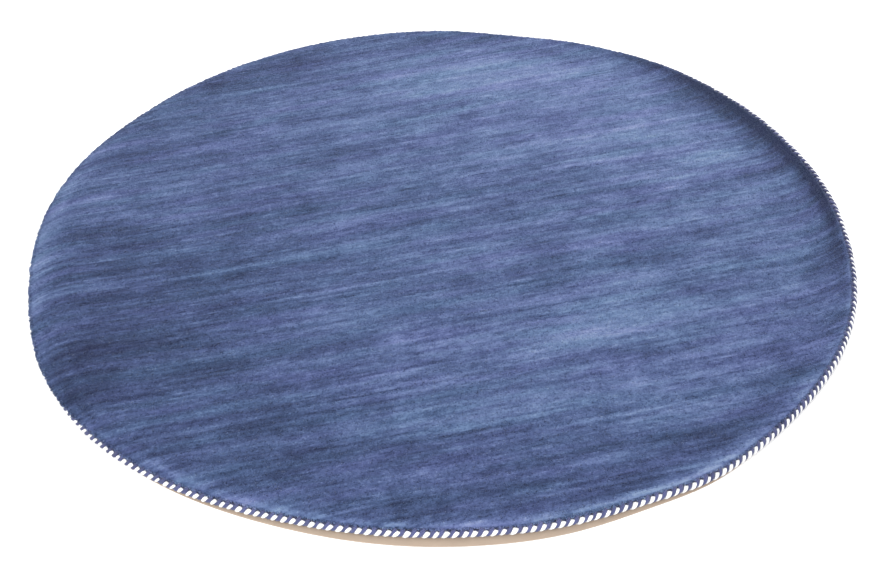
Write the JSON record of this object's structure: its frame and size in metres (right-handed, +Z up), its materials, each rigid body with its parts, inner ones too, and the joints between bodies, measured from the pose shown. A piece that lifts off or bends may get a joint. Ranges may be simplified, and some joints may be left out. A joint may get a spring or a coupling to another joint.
{
  "type": "round gabbeh rug",
  "caption": "Round handloomed wool pile rug with abrash blue rows, an overcast cord edge in white and blue yarn, and an undyed backing cloth.",
  "frame": {"origin": "on the floor under the middle of the rug, on the backing cloth's underside", "axes": "+Z up from the floor, -Y towards the front, where the backing cloth shows past the cord"},
  "size_m": [1.4895, 1.5089, 0.0257],
  "materials": {
    "wool_pile": "short cut wool pile in fine rows of uneven blues",
    "binding_yarn": "slanting overcast stitches of thick yarn, white and blue in turn",
    "backing_canvas": "plain undyed canvas"
  },
  "bodies": {
    "root": {"pile_field": "wool_pile", "edge_binding": "binding_yarn", "backing_cloth": "backing_canvas"}
  },
  "joints": []
}
